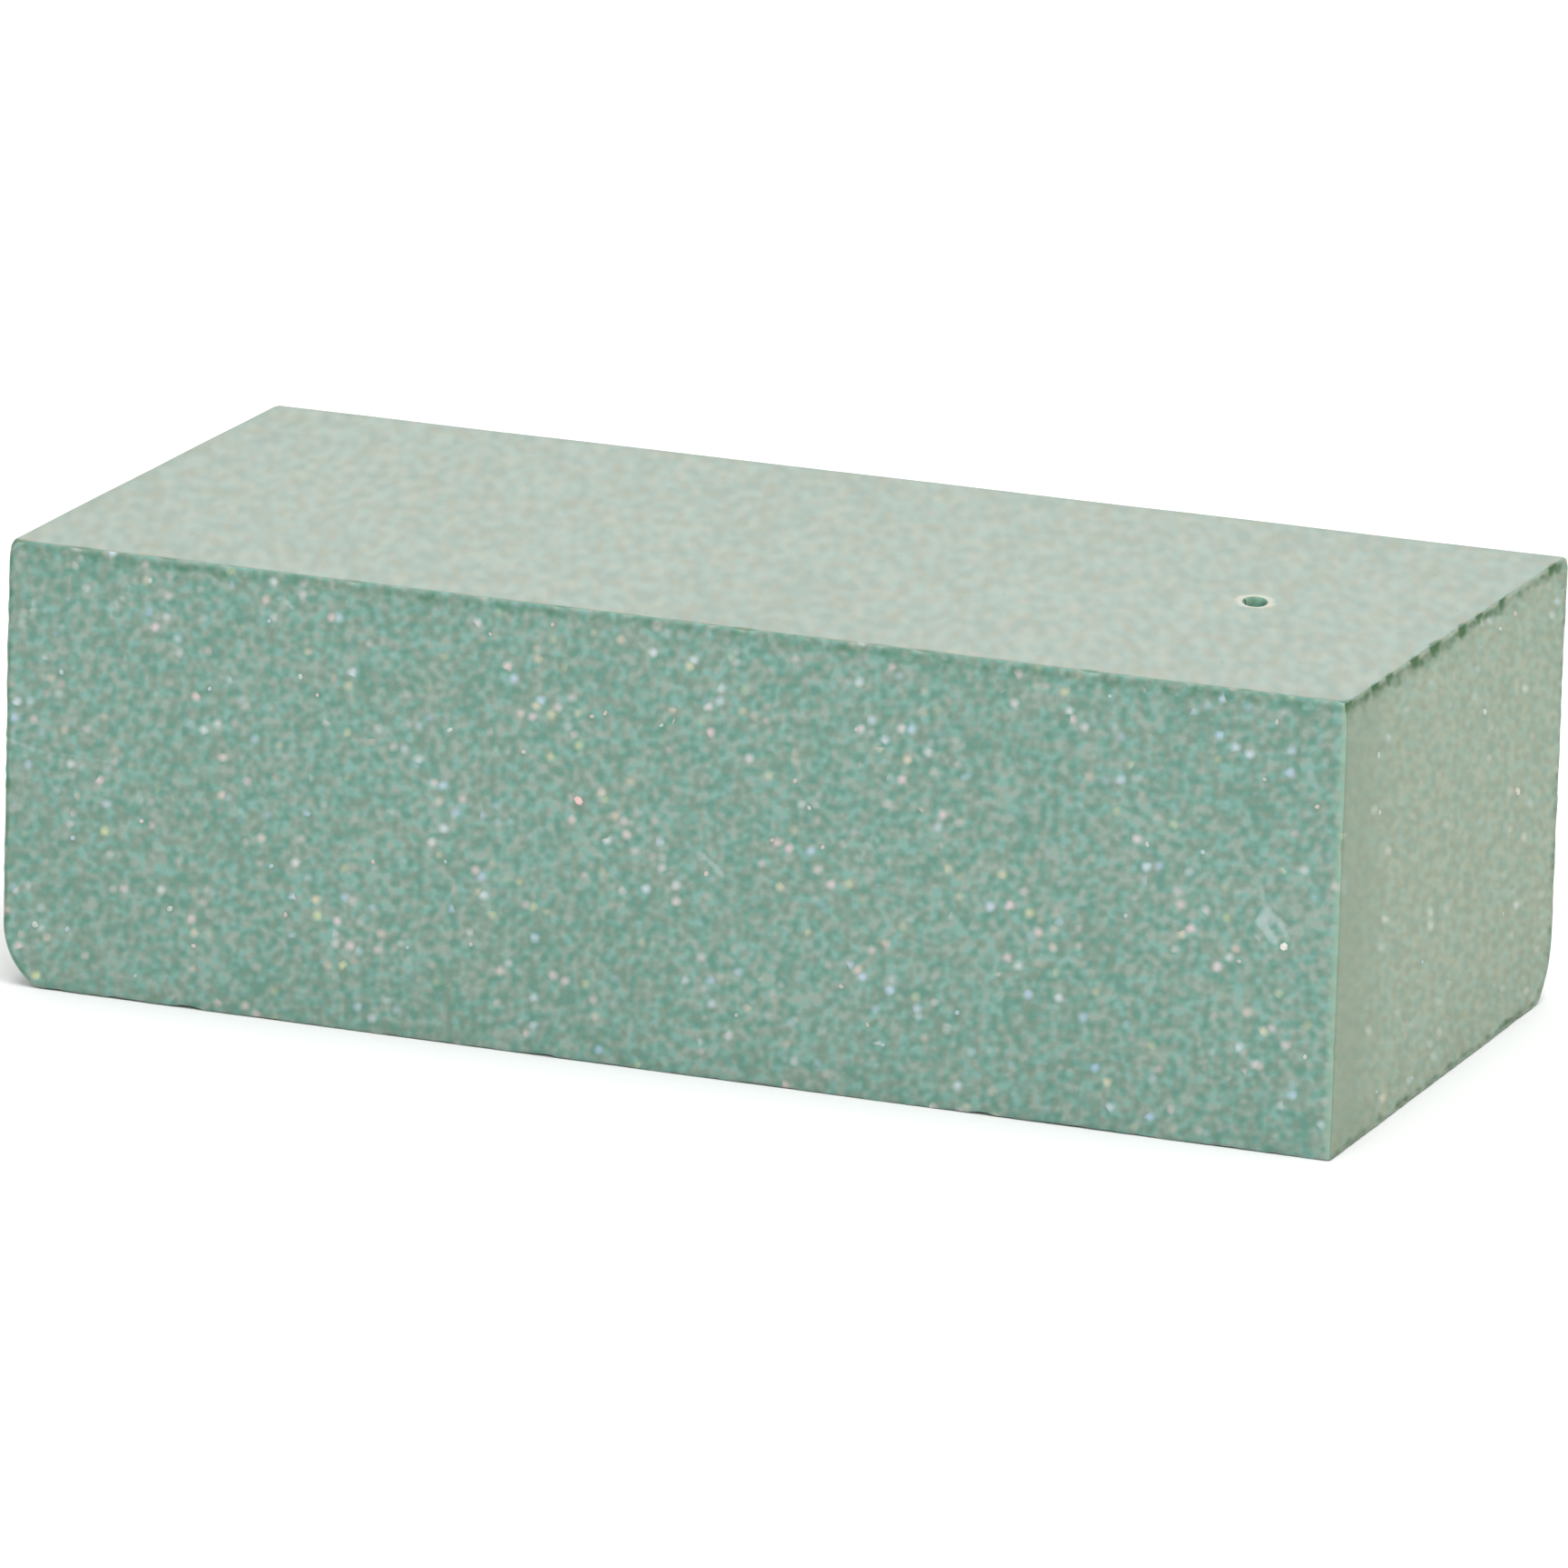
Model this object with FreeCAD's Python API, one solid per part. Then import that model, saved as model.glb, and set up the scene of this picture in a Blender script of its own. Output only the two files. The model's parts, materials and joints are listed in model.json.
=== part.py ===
"""Brick of rigid dry floral foam, sawn from one corner of a larger moulded bun.

Frame: millimetres, +Z up, origin at the centre of the base face.
  X runs along the length, from the moulded end (-X) to the sawn end (+X).
  Y runs through the depth, from the sawn front (-Y) to the moulded back (+Y).

The front and the +X end are flat saw cuts with crisp edges. The back and the -X end are the bun's
moulded sides, so their edges are rounded: widely towards the base, only slightly along the top. The
flat base cuts the wide rounding short just before it would run out, which leaves a shallow corner there.
The whole brick is one piece of foam, so there is one part.
"""

import FreeCAD
import Part
import os

# Driving dimensions of the brick
LENGTH = 230.0
DEPTH = 110.0
HEIGHT = 75.0

# Rounded edges that the mould leaves
BASE_EDGE_RADIUS = 12.0
BACK_TOP_RADIUS = 2.5
END_TOP_RADIUS = 1.5
UPRIGHT_CORNER_RADIUS = 3.0

# How far below the flat base the wide rounding would have run out
ROUNDING_BELOW_BASE = 1.5

# Worn arris of every crisp edge of the two sawn faces
ARRIS = 0.4

# Round blind stem hole in the top, on the middle line of the depth
HOLE_RADIUS = 2.0
HOLE_DEEP = 10.0
HOLE_FROM_SAWN_END = 35.0

# Faces of the moulded bun's corner
END_X = -LENGTH / 2
SAWN_X = LENGTH / 2
FRONT_Y = -DEPTH / 2
BACK_Y = DEPTH / 2

CLOSE = 1e-3


def on_line(edge, at):
    """True if both ends of the edge have the given coordinates, such as {"x": 0, "z": 75}."""
    ends = [vertex.Point for vertex in edge.Vertexes]
    return all(abs(getattr(end, axis) - value) < CLOSE for end in ends for axis, value in at.items())


def moulded_corner():
    """The bun's corner, still running on below the base: a box with its five moulded edges rounded."""
    height = HEIGHT + ROUNDING_BELOW_BASE
    box = Part.makeBox(LENGTH, DEPTH, height, FreeCAD.Vector(END_X, FRONT_Y, -ROUNDING_BELOW_BASE))
    slivers = [
        corner_sliver(box.BoundBox, UPRIGHT_CORNER_RADIUS, {"x": END_X, "y": BACK_Y}),
        corner_sliver(box.BoundBox, BACK_TOP_RADIUS, {"y": BACK_Y, "z": HEIGHT}),
        corner_sliver(box.BoundBox, END_TOP_RADIUS, {"x": END_X, "z": HEIGHT}),
        corner_sliver(box.BoundBox, BASE_EDGE_RADIUS, {"y": BACK_Y, "z": -ROUNDING_BELOW_BASE}),
        corner_sliver(box.BoundBox, BASE_EDGE_RADIUS, {"x": END_X, "z": -ROUNDING_BELOW_BASE}),
    ]
    return box.cut(slivers)


def corner_sliver(bounds, radius, at):
    """The foam outside one rounded edge of a box: a square stick less the quarter round that stays."""
    lows = {"x": bounds.XMin, "y": bounds.YMin, "z": bounds.ZMin}
    spans = {"x": bounds.XLength, "y": bounds.YLength, "z": bounds.ZLength}
    along = next(axis for axis in "xyz" if axis not in at)
    corner = dict(lows)
    centre = dict(lows)
    size = dict(spans)
    for axis, value in at.items():
        outwards = 1 if value > lows[axis] + spans[axis] / 2 else -1
        centre[axis] = value - outwards * radius
        corner[axis] = min(value, centre[axis])
        size[axis] = radius
    stick = Part.makeBox(size["x"], size["y"], size["z"], vector(corner))
    direction = FreeCAD.Vector(*[1 if axis == along else 0 for axis in "xyz"])
    return stick.cut(Part.makeCylinder(radius, spans[along], vector(centre), direction))


def vector(point):
    """A point kept by axis name, as a vector."""
    return FreeCAD.Vector(point["x"], point["y"], point["z"])


def levelled(block):
    """The block with everything below the base plane taken off."""
    below = Part.makeBox(2 * LENGTH, 2 * DEPTH, HEIGHT, FreeCAD.Vector(-LENGTH, -DEPTH, -HEIGHT))
    return block.cut(below)


def worn(block):
    """The block with its crisp sawn edges eased by one small chamfer."""
    crisp = [
        {"y": FRONT_Y, "z": HEIGHT},
        {"y": FRONT_Y, "z": 0.0},
        {"y": FRONT_Y, "x": SAWN_X},
        {"x": SAWN_X, "z": HEIGHT},
        {"x": SAWN_X, "z": 0.0},
    ]
    edges = [edge for edge in block.Edges if any(on_line(edge, at) for at in crisp)]
    return block.makeChamfer(ARRIS, edges)


def stem_hole():
    """The plug of air in the stem hole, standing out of the top so that it cuts the face cleanly."""
    floor_centre = FreeCAD.Vector(SAWN_X - HOLE_FROM_SAWN_END, 0, HEIGHT - HOLE_DEEP)
    return Part.makeCylinder(HOLE_RADIUS, 2 * HOLE_DEEP, floor_centre)


def foam_brick():
    """The whole brick, as one solid."""
    return worn(levelled(moulded_corner())).cut(stem_hole()).Solids[0]


def main():
    os.makedirs("parts", exist_ok=True)
    brick = foam_brick()
    brick.exportStep("parts/foam_brick.step")
    bounds = brick.BoundBox
    print("foam_brick", brick.ShapeType, len(brick.Solids), "solid, valid", brick.isValid())
    print("size", round(bounds.XLength, 3), round(bounds.YLength, 3), round(bounds.ZLength, 3))
    print("base at z", round(bounds.ZMin, 3), "volume cm3", round(brick.Volume / 1000, 2))


main()
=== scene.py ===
# %% [markdown]
# # A brick of floral foam
# The object is one block of rigid, dry floral foam. It was moulded in a large bun and then sawn, so it
# has two kinds of surface: smooth moulded skin (top, back, left end, base) and sawn faces (front, right
# end) where thousands of glassy cells are torn open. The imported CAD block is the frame: it gives the
# size and the place, and everything here is built inside it.

# %% Load the frame
import json
import math
import random
from collections import namedtuple

import bmesh
import bpy
from mathutils import Matrix, Vector, noise

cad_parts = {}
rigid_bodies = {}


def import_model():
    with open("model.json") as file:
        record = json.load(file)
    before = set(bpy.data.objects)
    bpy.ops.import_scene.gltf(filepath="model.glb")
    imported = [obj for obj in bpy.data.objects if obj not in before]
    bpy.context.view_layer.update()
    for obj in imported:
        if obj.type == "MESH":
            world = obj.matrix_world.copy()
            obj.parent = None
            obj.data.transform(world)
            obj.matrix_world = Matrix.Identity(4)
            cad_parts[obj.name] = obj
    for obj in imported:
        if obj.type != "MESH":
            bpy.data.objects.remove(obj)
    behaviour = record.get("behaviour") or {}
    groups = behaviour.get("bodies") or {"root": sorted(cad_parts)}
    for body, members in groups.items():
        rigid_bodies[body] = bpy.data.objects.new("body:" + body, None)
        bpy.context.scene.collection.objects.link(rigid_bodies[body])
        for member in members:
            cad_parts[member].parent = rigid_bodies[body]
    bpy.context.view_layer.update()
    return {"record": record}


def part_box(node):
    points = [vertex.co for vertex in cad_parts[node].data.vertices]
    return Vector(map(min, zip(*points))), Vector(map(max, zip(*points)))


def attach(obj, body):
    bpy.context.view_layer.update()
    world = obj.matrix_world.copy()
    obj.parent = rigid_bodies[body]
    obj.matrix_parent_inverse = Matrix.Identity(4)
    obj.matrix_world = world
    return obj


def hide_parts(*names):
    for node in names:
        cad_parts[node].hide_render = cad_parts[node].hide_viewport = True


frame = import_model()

MM = 0.001
BRICK = "foam_brick"
low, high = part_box(BRICK)
size = high - low
hole = next(mount for mount in frame["record"]["mounts"] if mount["name"] == "stem_hole")
hole_centre = Vector((*hole["pos_m"][:2], high.z))
print("block", [round(side / MM, 1) for side in size], "mm")
print("stem hole at", [round(place / MM, 1) for place in hole_centre])

# %% [markdown]
# ## A block divided into rows of small cells
# Foam has no flat surface anywhere, so the block needs many small faces to be pushed about. A cube is
# divided along X, then Y, then Z, and each row is then moved to its place. The rows lie closer together
# near the sawn edges, around the stem hole and across the scuffed patch of the front, where the detail
# is smallest, and further apart through the depth, where only plain skin shows. One even grid as fine
# as the finest part would waste most of its faces.

# %% Where the rows lie
FACE_ROW = 1.05 * MM
DEPTH_ROW = 1.25 * MM
EDGE_ROW = 0.5 * MM
EDGE_BAND = 2.5 * MM
FAR_EDGE_BAND = 1.5 * MM
FINE_ROW = 0.45 * MM
HOLE_HALF_BAND_X = 3.2 * MM
HOLE_HALF_BAND_Y = 4.6 * MM
SCUFF_X = (100.5 * MM, 107.5 * MM)
SCUFF_Z = (33.5 * MM, 43.5 * MM)
BELOW_BASE = 1.5 * MM
TINY = 1e-7


def rows_between(start, stop, usual, bands):
    """Row positions from start to stop: the usual spacing, and a finer one in each (from, to, spacing)."""
    rows = [start]
    while rows[-1] < stop - TINY:
        here = rows[-1]
        spacing = min([fine for a, b, fine in bands if a - TINY <= here < b - TINY] + [usual])
        edges = [edge for a, b, fine in bands for edge in (a, b) if edge > here + TINY]
        gap = min(edges + [stop]) - here
        rows.append(here + gap / max(1, round(gap / spacing)))
    return rows


rows_x = rows_between(low.x, high.x, FACE_ROW, [
    (low.x, low.x + FAR_EDGE_BAND, EDGE_ROW),
    (hole_centre.x - HOLE_HALF_BAND_X, hole_centre.x + HOLE_HALF_BAND_X, FINE_ROW),
    (*SCUFF_X, FINE_ROW),
    (high.x - EDGE_BAND, high.x, EDGE_ROW),
])
rows_y = rows_between(low.y, high.y, DEPTH_ROW, [
    (low.y, low.y + EDGE_BAND, EDGE_ROW),
    (hole_centre.y - HOLE_HALF_BAND_Y, hole_centre.y + HOLE_HALF_BAND_Y, FINE_ROW),
    (high.y - FAR_EDGE_BAND, high.y, EDGE_ROW),
])
rows_z = rows_between(low.z - BELOW_BASE, high.z, FACE_ROW, [
    (low.z - BELOW_BASE, low.z + FAR_EDGE_BAND, EDGE_ROW),
    (*SCUFF_Z, FINE_ROW),
    (high.z - EDGE_BAND, high.z, EDGE_ROW),
])
print("rows along X, Y, Z:", len(rows_x), len(rows_y), len(rows_z))

# %% Divide a cube and set out its rows
SKIN, FRONT_SAWN, END_SAWN, HOLE_WALL = range(4)
ALONG_AXIS = 0.9
FACES_OUT = 0.5


def edges_along(bm, axis):
    """The mesh edges that run along one axis."""
    spans = [(e, abs((e.verts[0].co - e.verts[1].co)[axis])) for e in bm.edges]
    return [e for e, span in spans if span > ALONG_AXIS * e.calc_length()]


def divided_block():
    """A cube with a row of vertices at each stated place, its faces marked as skin or sawn."""
    bm = bmesh.new()
    bmesh.ops.create_cube(bm, size=1.0)
    for axis, rows in enumerate((rows_x, rows_y, rows_z)):
        edges = edges_along(bm, axis)
        bmesh.ops.subdivide_edges(bm, edges=edges, cuts=len(rows) - 2, use_grid_fill=True)
    for face in bm.faces:
        face.material_index = SKIN
        if face.normal.y < -FACES_OUT:
            face.material_index = FRONT_SAWN
        elif face.normal.x > FACES_OUT:
            face.material_index = END_SAWN
        face.smooth = True
    for vert in bm.verts:
        for axis, rows in enumerate((rows_x, rows_y, rows_z)):
            vert.co[axis] = rows[round((vert.co[axis] + 0.5) * (len(rows) - 1))]
    return bm


brick = divided_block()
print("divided block:", len(brick.verts), "vertices,", len(brick.faces), "faces")

# %% [markdown]
# ## Pressing the moulded edges round
# Only the edges that touched the mould are round: widely towards the base at the back and the left end,
# and only slightly along the top and up the corner between them. A bevel would break the even rows, so
# each square stretch beside an edge is pressed onto the arc instead: a vertex keeps its direction from
# the arc's centre, and takes as its radius how far out in the square it was.

# %% Press and level
UNDER_EDGE = 12.0 * MM
BACK_TOP_EDGE = 2.5 * MM
END_TOP_EDGE = 1.5 * MM
UPRIGHT_EDGE = 3.0 * MM
X, Y, Z = range(3)
mould_low = Vector((low.x, low.y, low.z - BELOW_BASE))
MOULDED_EDGES = [
    (UPRIGHT_EDGE, {X: mould_low.x, Y: high.y}),
    (BACK_TOP_EDGE, {Y: high.y, Z: high.z}),
    (END_TOP_EDGE, {X: mould_low.x, Z: high.z}),
    (UNDER_EDGE, {Y: high.y, Z: mould_low.z}),
    (UNDER_EDGE, {X: mould_low.x, Z: mould_low.z}),
]


def press_round(bm, radius, edge):
    """Presses the square stretch beside one edge of the block onto an arc of that radius."""
    (a, a_at), (b, b_at) = edge.items()
    middle = (mould_low + high) / 2
    a_out = 1 if a_at > middle[a] else -1
    b_out = 1 if b_at > middle[b] else -1
    for vert in bm.verts:
        across = (vert.co[a] - a_at) * a_out + radius
        along = (vert.co[b] - b_at) * b_out + radius
        if across > TINY and along > TINY:
            pull = max(across, along) / math.hypot(across, along)
            vert.co[a] = a_at + (across * pull - radius) * a_out
            vert.co[b] = b_at + (along * pull - radius) * b_out


def level_base(bm):
    """Slices off what hangs below the base and closes the cut with one flat face."""
    everything = list(bm.verts) + list(bm.edges) + list(bm.faces)
    base = Vector((0, 0, low.z))
    down = Vector((0, 0, -1))
    bmesh.ops.bisect_plane(bm, geom=everything, dist=TINY, plane_co=base, plane_no=down, clear_outer=True)
    rim = [edge for edge in bm.edges if edge.is_boundary]
    bottom = bmesh.ops.edgeloop_fill(bm, edges=rim)["faces"]
    for face in bottom:
        face.material_index = SKIN
        face.smooth = False
    bmesh.ops.recalc_face_normals(bm, faces=bm.faces)


for edge_radius, mould_edge in MOULDED_EDGES:
    press_round(brick, edge_radius, mould_edge)
level_base(brick)
print("after pressing and levelling:", len(brick.faces), "faces")

# %% [markdown]
# ## The stem hole
# One round hole has been pushed into the top by a stem, and leaning the stem has torn its mouth a
# little longer through the depth. The faces inside the mouth are taken out, the ragged rim is drawn
# onto the torn outline, and the rim is then extruded down the wall in steps, each drawn rounder, and
# closed with a floor. A boolean would also cut it, but it leaves long thin faces round the mouth.

# %% Open the hole and draw its wall down
HOLE_RADIUS = hole["dims"]["r_mm"] * MM
HOLE_DEEP = hole["dims"]["length_mm"] * MM
TEAR_WAY = Vector((-0.36, 0.93))
TORN_WIDER = 0.05 * MM
TORN_LONGER = 1.5 * MM
EASED_BAND = 2 * FINE_ROW
EASING_ROUNDS = 4
EASING = 0.5
# (share of the depth, share of the tear that is left, wider by this share of the radius)
HOLE_WALL_STEPS = [
    (0.04, 0.45, 0.0), (0.12, 0.12, -0.02), (0.25, 0.0, 0.0), (0.42, 0.0, -0.03), (0.60, 0.0, 0.0),
    (0.78, 0.0, -0.04), (0.92, 0.0, -0.02), (0.98, 0.0, -0.25), (1.0, 0.0, -0.5),
]


def hole_outline(point, torn, wider):
    """The point moved level onto the hole's outline, torn longer by a share, or wider all round."""
    middle = Vector((hole_centre.x, hole_centre.y))
    out = (point.xy - middle).normalized()
    along = TEAR_WAY * out.dot(TEAR_WAY)
    half_width = HOLE_RADIUS * (1 + wider) + torn * TORN_WIDER
    half_length = HOLE_RADIUS * (1 + wider) + torn * TORN_LONGER
    level = middle + along * half_length + (out - along) * half_width
    return level.to_3d() + Vector((0, 0, point.z))


def out_of_mouth(point):
    """How far a point lies outside the torn mouth of the hole; less than zero inside it."""
    mouth = hole_outline(point, 1.0, 0.0)
    middle = Vector((hole_centre.x, hole_centre.y, point.z))
    return (point - middle).length - (mouth - middle).length


def draw_to_hole(verts, torn, wider):
    """Moves vertices level onto the outline of the hole."""
    for vert in verts:
        vert.co = hole_outline(vert.co, torn, wider)


def open_stem_hole(bm):
    """Cuts the mouth out of the top, then extrudes the hole's wall and floor."""
    facing_up = [f for f in bm.faces if f.normal.z > ALONG_AXIS]
    on_top = [f for f in facing_up if f.calc_center_median().z > high.z - TINY]
    inside = [f for f in on_top if out_of_mouth(f.calc_center_median()) < 0]
    bmesh.ops.delete(bm, geom=inside, context="FACES")
    rim = [edge for edge in bm.edges if edge.is_boundary]
    draw_to_hole({vert for edge in rim for vert in edge.verts}, 1.0, 0.0)
    around = [v for v in bm.verts if v.co.z > high.z - TINY and not v.is_boundary]
    around = [v for v in around if out_of_mouth(v.co) < EASED_BAND]
    for _ in range(EASING_ROUNDS):
        bmesh.ops.smooth_vert(bm, verts=around, factor=EASING, use_axis_x=True, use_axis_y=True)
    for share_of_depth, torn, wider in HOLE_WALL_STEPS:
        made = bmesh.ops.extrude_edge_only(bm, edges=rim)["geom"]
        rim = [item for item in made if isinstance(item, bmesh.types.BMEdge)]
        rim_verts = [item for item in made if isinstance(item, bmesh.types.BMVert)]
        for vert in rim_verts:
            vert.co.z = high.z - share_of_depth * HOLE_DEEP
        draw_to_hole(rim_verts, torn, wider)
        for face in {face for edge in rim for face in edge.link_faces}:
            face.material_index = HOLE_WALL
            face.smooth = True
    for face in bmesh.ops.edgeloop_fill(bm, edges=rim)["faces"]:
        face.material_index = HOLE_WALL
    bmesh.ops.recalc_face_normals(bm, faces=bm.faces)


open_stem_hole(brick)
open_edges = sum(edge.is_boundary for edge in brick.edges)
print("with the hole:", len(brick.faces), "faces, open edges", open_edges)

# %% [markdown]
# ## Crumbled edges
# A saw leaves a crisp edge, but foam crumbles at a touch, so each sawn edge is broken by a small
# chamfer whose width wanders, with larger chips where the brick was knocked. For every vertex two
# depths are known: how far it lies behind the sawn face and how far inside the outline of that face.
# Where the two together are less than the wear at that place, the vertex sinks both ways until they
# add up to it.

# %% Depth inside an outline
FRONT = "front"
END = "end"
TOP = "top"
BASE = "base"
SIDE = "side"


def outline_depth(co, face):
    """How deep a point lies inside the outline of a sawn face, which side is nearest, and the way in."""
    across = X if face == FRONT else Y
    moulded_side = low.x if face == FRONT else high.y
    inwards = 1 if face == FRONT else -1
    top_radius = END_TOP_EDGE if face == FRONT else BACK_TOP_EDGE
    in_from_side = (co[across] - moulded_side) * inwards
    sideways = Vector((0, 0, 0))
    sideways[across] = inwards
    depths = [
        (high.z - co.z, TOP, Vector((0, 0, -1))),
        (co.z - low.z, BASE, Vector((0, 0, 1))),
        (in_from_side, SIDE, sideways),
    ]
    arcs = [(top_radius, high.z - top_radius, 1), (UNDER_EDGE, mould_low.z + UNDER_EDGE, -1)]
    for radius, height, up in arcs:
        beyond = (co.z - height) * up
        if in_from_side < radius and beyond > 0:
            out = Vector((0, 0, up * beyond)) - sideways * (radius - in_from_side)
            depths.append((radius - out.length, SIDE, -out.normalized()))
    return min(depths, key=lambda entry: entry[0])


# %% Chips along the sawn edges
def chips_along(corner, way, chips):
    """Chips at (distance along the edge, reach, depth) in mm, as (centre, reach, depth) in the scene."""
    return [(corner + way * (at * MM), reach * MM, deep * MM) for at, reach, deep in chips]


CHIPS = (
    chips_along(Vector((high.x, low.y, high.z)), Vector((0, 1, 0)), [
        (0.4, 2.4, 1.0), (13.1, 2.3, 0.6), (20.2, 2.4, 0.7), (32.8, 2.7, 0.7), (42.7, 3.4, 1.1),
        (56.4, 2.7, 0.9), (64.7, 2.1, 0.6), (76.7, 2.3, 0.6), (102.0, 2.6, 0.8),
    ])
    + chips_along(Vector((low.x, low.y, high.z)), Vector((1, 0, 0)), [
        (0.5, 3.4, 1.5), (13.0, 3.2, 0.9), (28.0, 2.2, 0.7), (61.0, 2.6, 0.9), (97.0, 2.2, 0.8),
        (128.0, 3.0, 1.0), (159.0, 2.4, 0.8), (187.0, 2.4, 1.0), (213.0, 2.0, 0.8),
    ])
    + chips_along(Vector((low.x, low.y, low.z)), Vector((1, 0, 0)), [
        (33.0, 3.4, 0.9), (96.0, 2.8, 0.8), (171.0, 3.0, 0.8),
    ])
    + chips_along(Vector((high.x, low.y, low.z)), Vector((0, 0, 1)), [(18.0, 2.0, 0.8), (51.0, 2.2, 0.9)])
)
print("chips:", len(CHIPS))

# %% Wear along the edges
EDGE_WEAR = 0.3 * MM
CRUMBLE = 0.24 * MM
CRUMBLE_GRAIN = 4.5 * MM
FINE_CRUMBLE_GRAIN = 1.4 * MM
FINE_CRUMBLE_SHARE = 0.8
LEAST_WEAR = 0.1 * MM
WEAR_REACH = 3.6 * MM
FULL_WEAR = 0.7 * MM


def wander(co, grain, seed=0.0):
    """Smooth random value from about -1 to 1, changing over lengths of about the grain."""
    return noise.noise(co / grain + Vector((seed, -seed, seed / 2)))


def wear_at(co):
    """Width of the wear on a sawn edge near this point."""
    coarse = wander(co, CRUMBLE_GRAIN, seed=3.0)
    fine = FINE_CRUMBLE_SHARE * wander(co, FINE_CRUMBLE_GRAIN, seed=9.0)
    wear = EDGE_WEAR + CRUMBLE * (coarse + fine)
    for centre, reach, deep in CHIPS:
        away = (co - centre).length / reach
        if away < 1:
            wear = max(wear, deep * (1 - away * away))
    return max(wear, LEAST_WEAR)


def sink(vert, first_depth, first_in, second_depth, second_in):
    """Sinks a vertex equally from two surfaces until its depths add up to the wear there."""
    if first_depth + second_depth >= WEAR_REACH:
        return 0.0
    missing = max(0.0, wear_at(vert.co) - first_depth - second_depth)
    vert.co += (first_in + second_in) * (missing / 2)
    return missing


# %% [markdown]
# ## The line of dense skin
# The bun's skin is denser foam than its inside. A saw cuts through it, so it shows as a dark green line
# all round each sawn face. It is darkest along the top of the end, where chips have crushed it, and wide
# but faint up the back. Its strength is written on the vertices here, where the depths are known, and the
# finish reads it later. So is a stretch beside the upright edge between the two sawn faces, where the
# front is paler and the end darker; on the end it reaches 30 mm back from the front corner and is painted
# shade, darkest at the corner.

# %% Where the line starts, its width and its strength on each side
SKIN_LINES = {
    (FRONT, TOP): (1.2 * MM, 3.8 * MM, 0.52),
    (FRONT, BASE): (1.4 * MM, 2.7 * MM, 0.36),
    (FRONT, SIDE): (0.2 * MM, 1.6 * MM, 0.62),
    (END, TOP): (1.0 * MM, 4.4 * MM, 0.60),
    (END, BASE): (1.0 * MM, 2.6 * MM, 0.60),
    (END, SIDE): (0.8 * MM, 5.0 * MM, 0.42),
}
RIM_SHARE = 0.4
FLAT_SHARE = 1.5
CHIP_SHADE = 1.25
UPRIGHT_BAND = 2.0 * MM
END_SHADED_BAND = 30.0 * MM
LINE_WANDER = 0.7
LINE_GRAIN = 4.2 * MM
FAINT_STRETCH = (24.0 * MM, 46.0 * MM)
FAINT_SHARE = 0.82
UNDER_LIP = 0.5 * MM
LIP_DENT = 0.3 * MM


def line_at(face, side, depth, co):
    """Strength of the skin line at this depth inside one side of a sawn face."""
    start, width, strength = SKIN_LINES[face, side]
    width *= 1 + LINE_WANDER * wander(co, LINE_GRAIN, seed=7.0)
    if (face, side) == (END, TOP) and FAINT_STRETCH[0] < co.y < FAINT_STRETCH[1]:
        strength *= FAINT_SHARE
    beyond_rim = RIM_SHARE + (1 - RIM_SHARE) * min(1.0, depth / start)
    return strength * beyond_rim * max(0.0, min(1.0, FLAT_SHARE * (1 - depth / width)))


def chip_shade(co):
    """How far a point lies in the crushed foam round a chip on the brick's outline, from 0 to 1."""
    shade = 0.0
    for centre, reach, deep in CHIPS:
        away = (co - centre).length / (CHIP_SHADE * reach)
        if away < 1 and abs(centre.z - high.z) < TINY:
            shade = max(shade, 1 - away * away)
    return shade


def crumble_edges(bm):
    """Wears every edge of the two sawn faces, and notes the wear and the skin line on the vertices."""
    worn = bm.verts.layers.float.new("worn")
    skin_line = bm.verts.layers.float.new("skin_line")
    upright = bm.verts.layers.float.new("upright_edge_and_end_shade")
    behind = {FRONT: Vector((0, 1, 0)), END: Vector((-1, 0, 0))}
    for vert in bm.verts:
        face_depths = {FRONT: vert.co.y - low.y, END: high.x - vert.co.x}
        # On the end the band is wide: painted shade, darkest at the front corner and gone 30 mm back
        band = END_SHADED_BAND if face_depths[END] < TINY else UPRIGHT_BAND
        vert[upright] = max(0.0, 1 - max(face_depths.values()) / band)
        lost = 0.0
        for face, depth in face_depths.items():
            if depth < WEAR_REACH:
                outline, side, inwards = outline_depth(vert.co, face)
                if depth < TINY:
                    line = line_at(face, side, outline, vert.co)
                    shade = chip_shade(vert.co) if face == END else 0.0
                    vert[skin_line] = max(vert[skin_line], line, shade)
                    if (face, side) == (END, TOP):
                        vert.co.x -= LIP_DENT * vert[skin_line] * min(1.0, outline / UNDER_LIP)
                lost = max(lost, sink(vert, depth, behind[face], outline, inwards))
        vert[worn] = min(1.0, lost / FULL_WEAR)
        sink(vert, face_depths[FRONT], behind[FRONT], face_depths[END], behind[END])


crumble_edges(brick)
print("worn vertices:", sum(vert[brick.verts.layers.float["worn"]] > 0 for vert in brick.verts))

# %% [markdown]
# ## Torn cells, pits and marks
# On a sawn face the blade tears every cell it meets, so the face is rough, with shallow open pits
# where a larger bubble lay. The skin is much smoother, but it rises and falls a little where the bun
# shrank, and it is pushed up in a low rim round the stem hole. A few marks are this brick's own: a
# forked scuff near the right edge of the front and a few short scratches across the rest of it. All of
# them are pushed into the mesh, so they catch light from any side.

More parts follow.
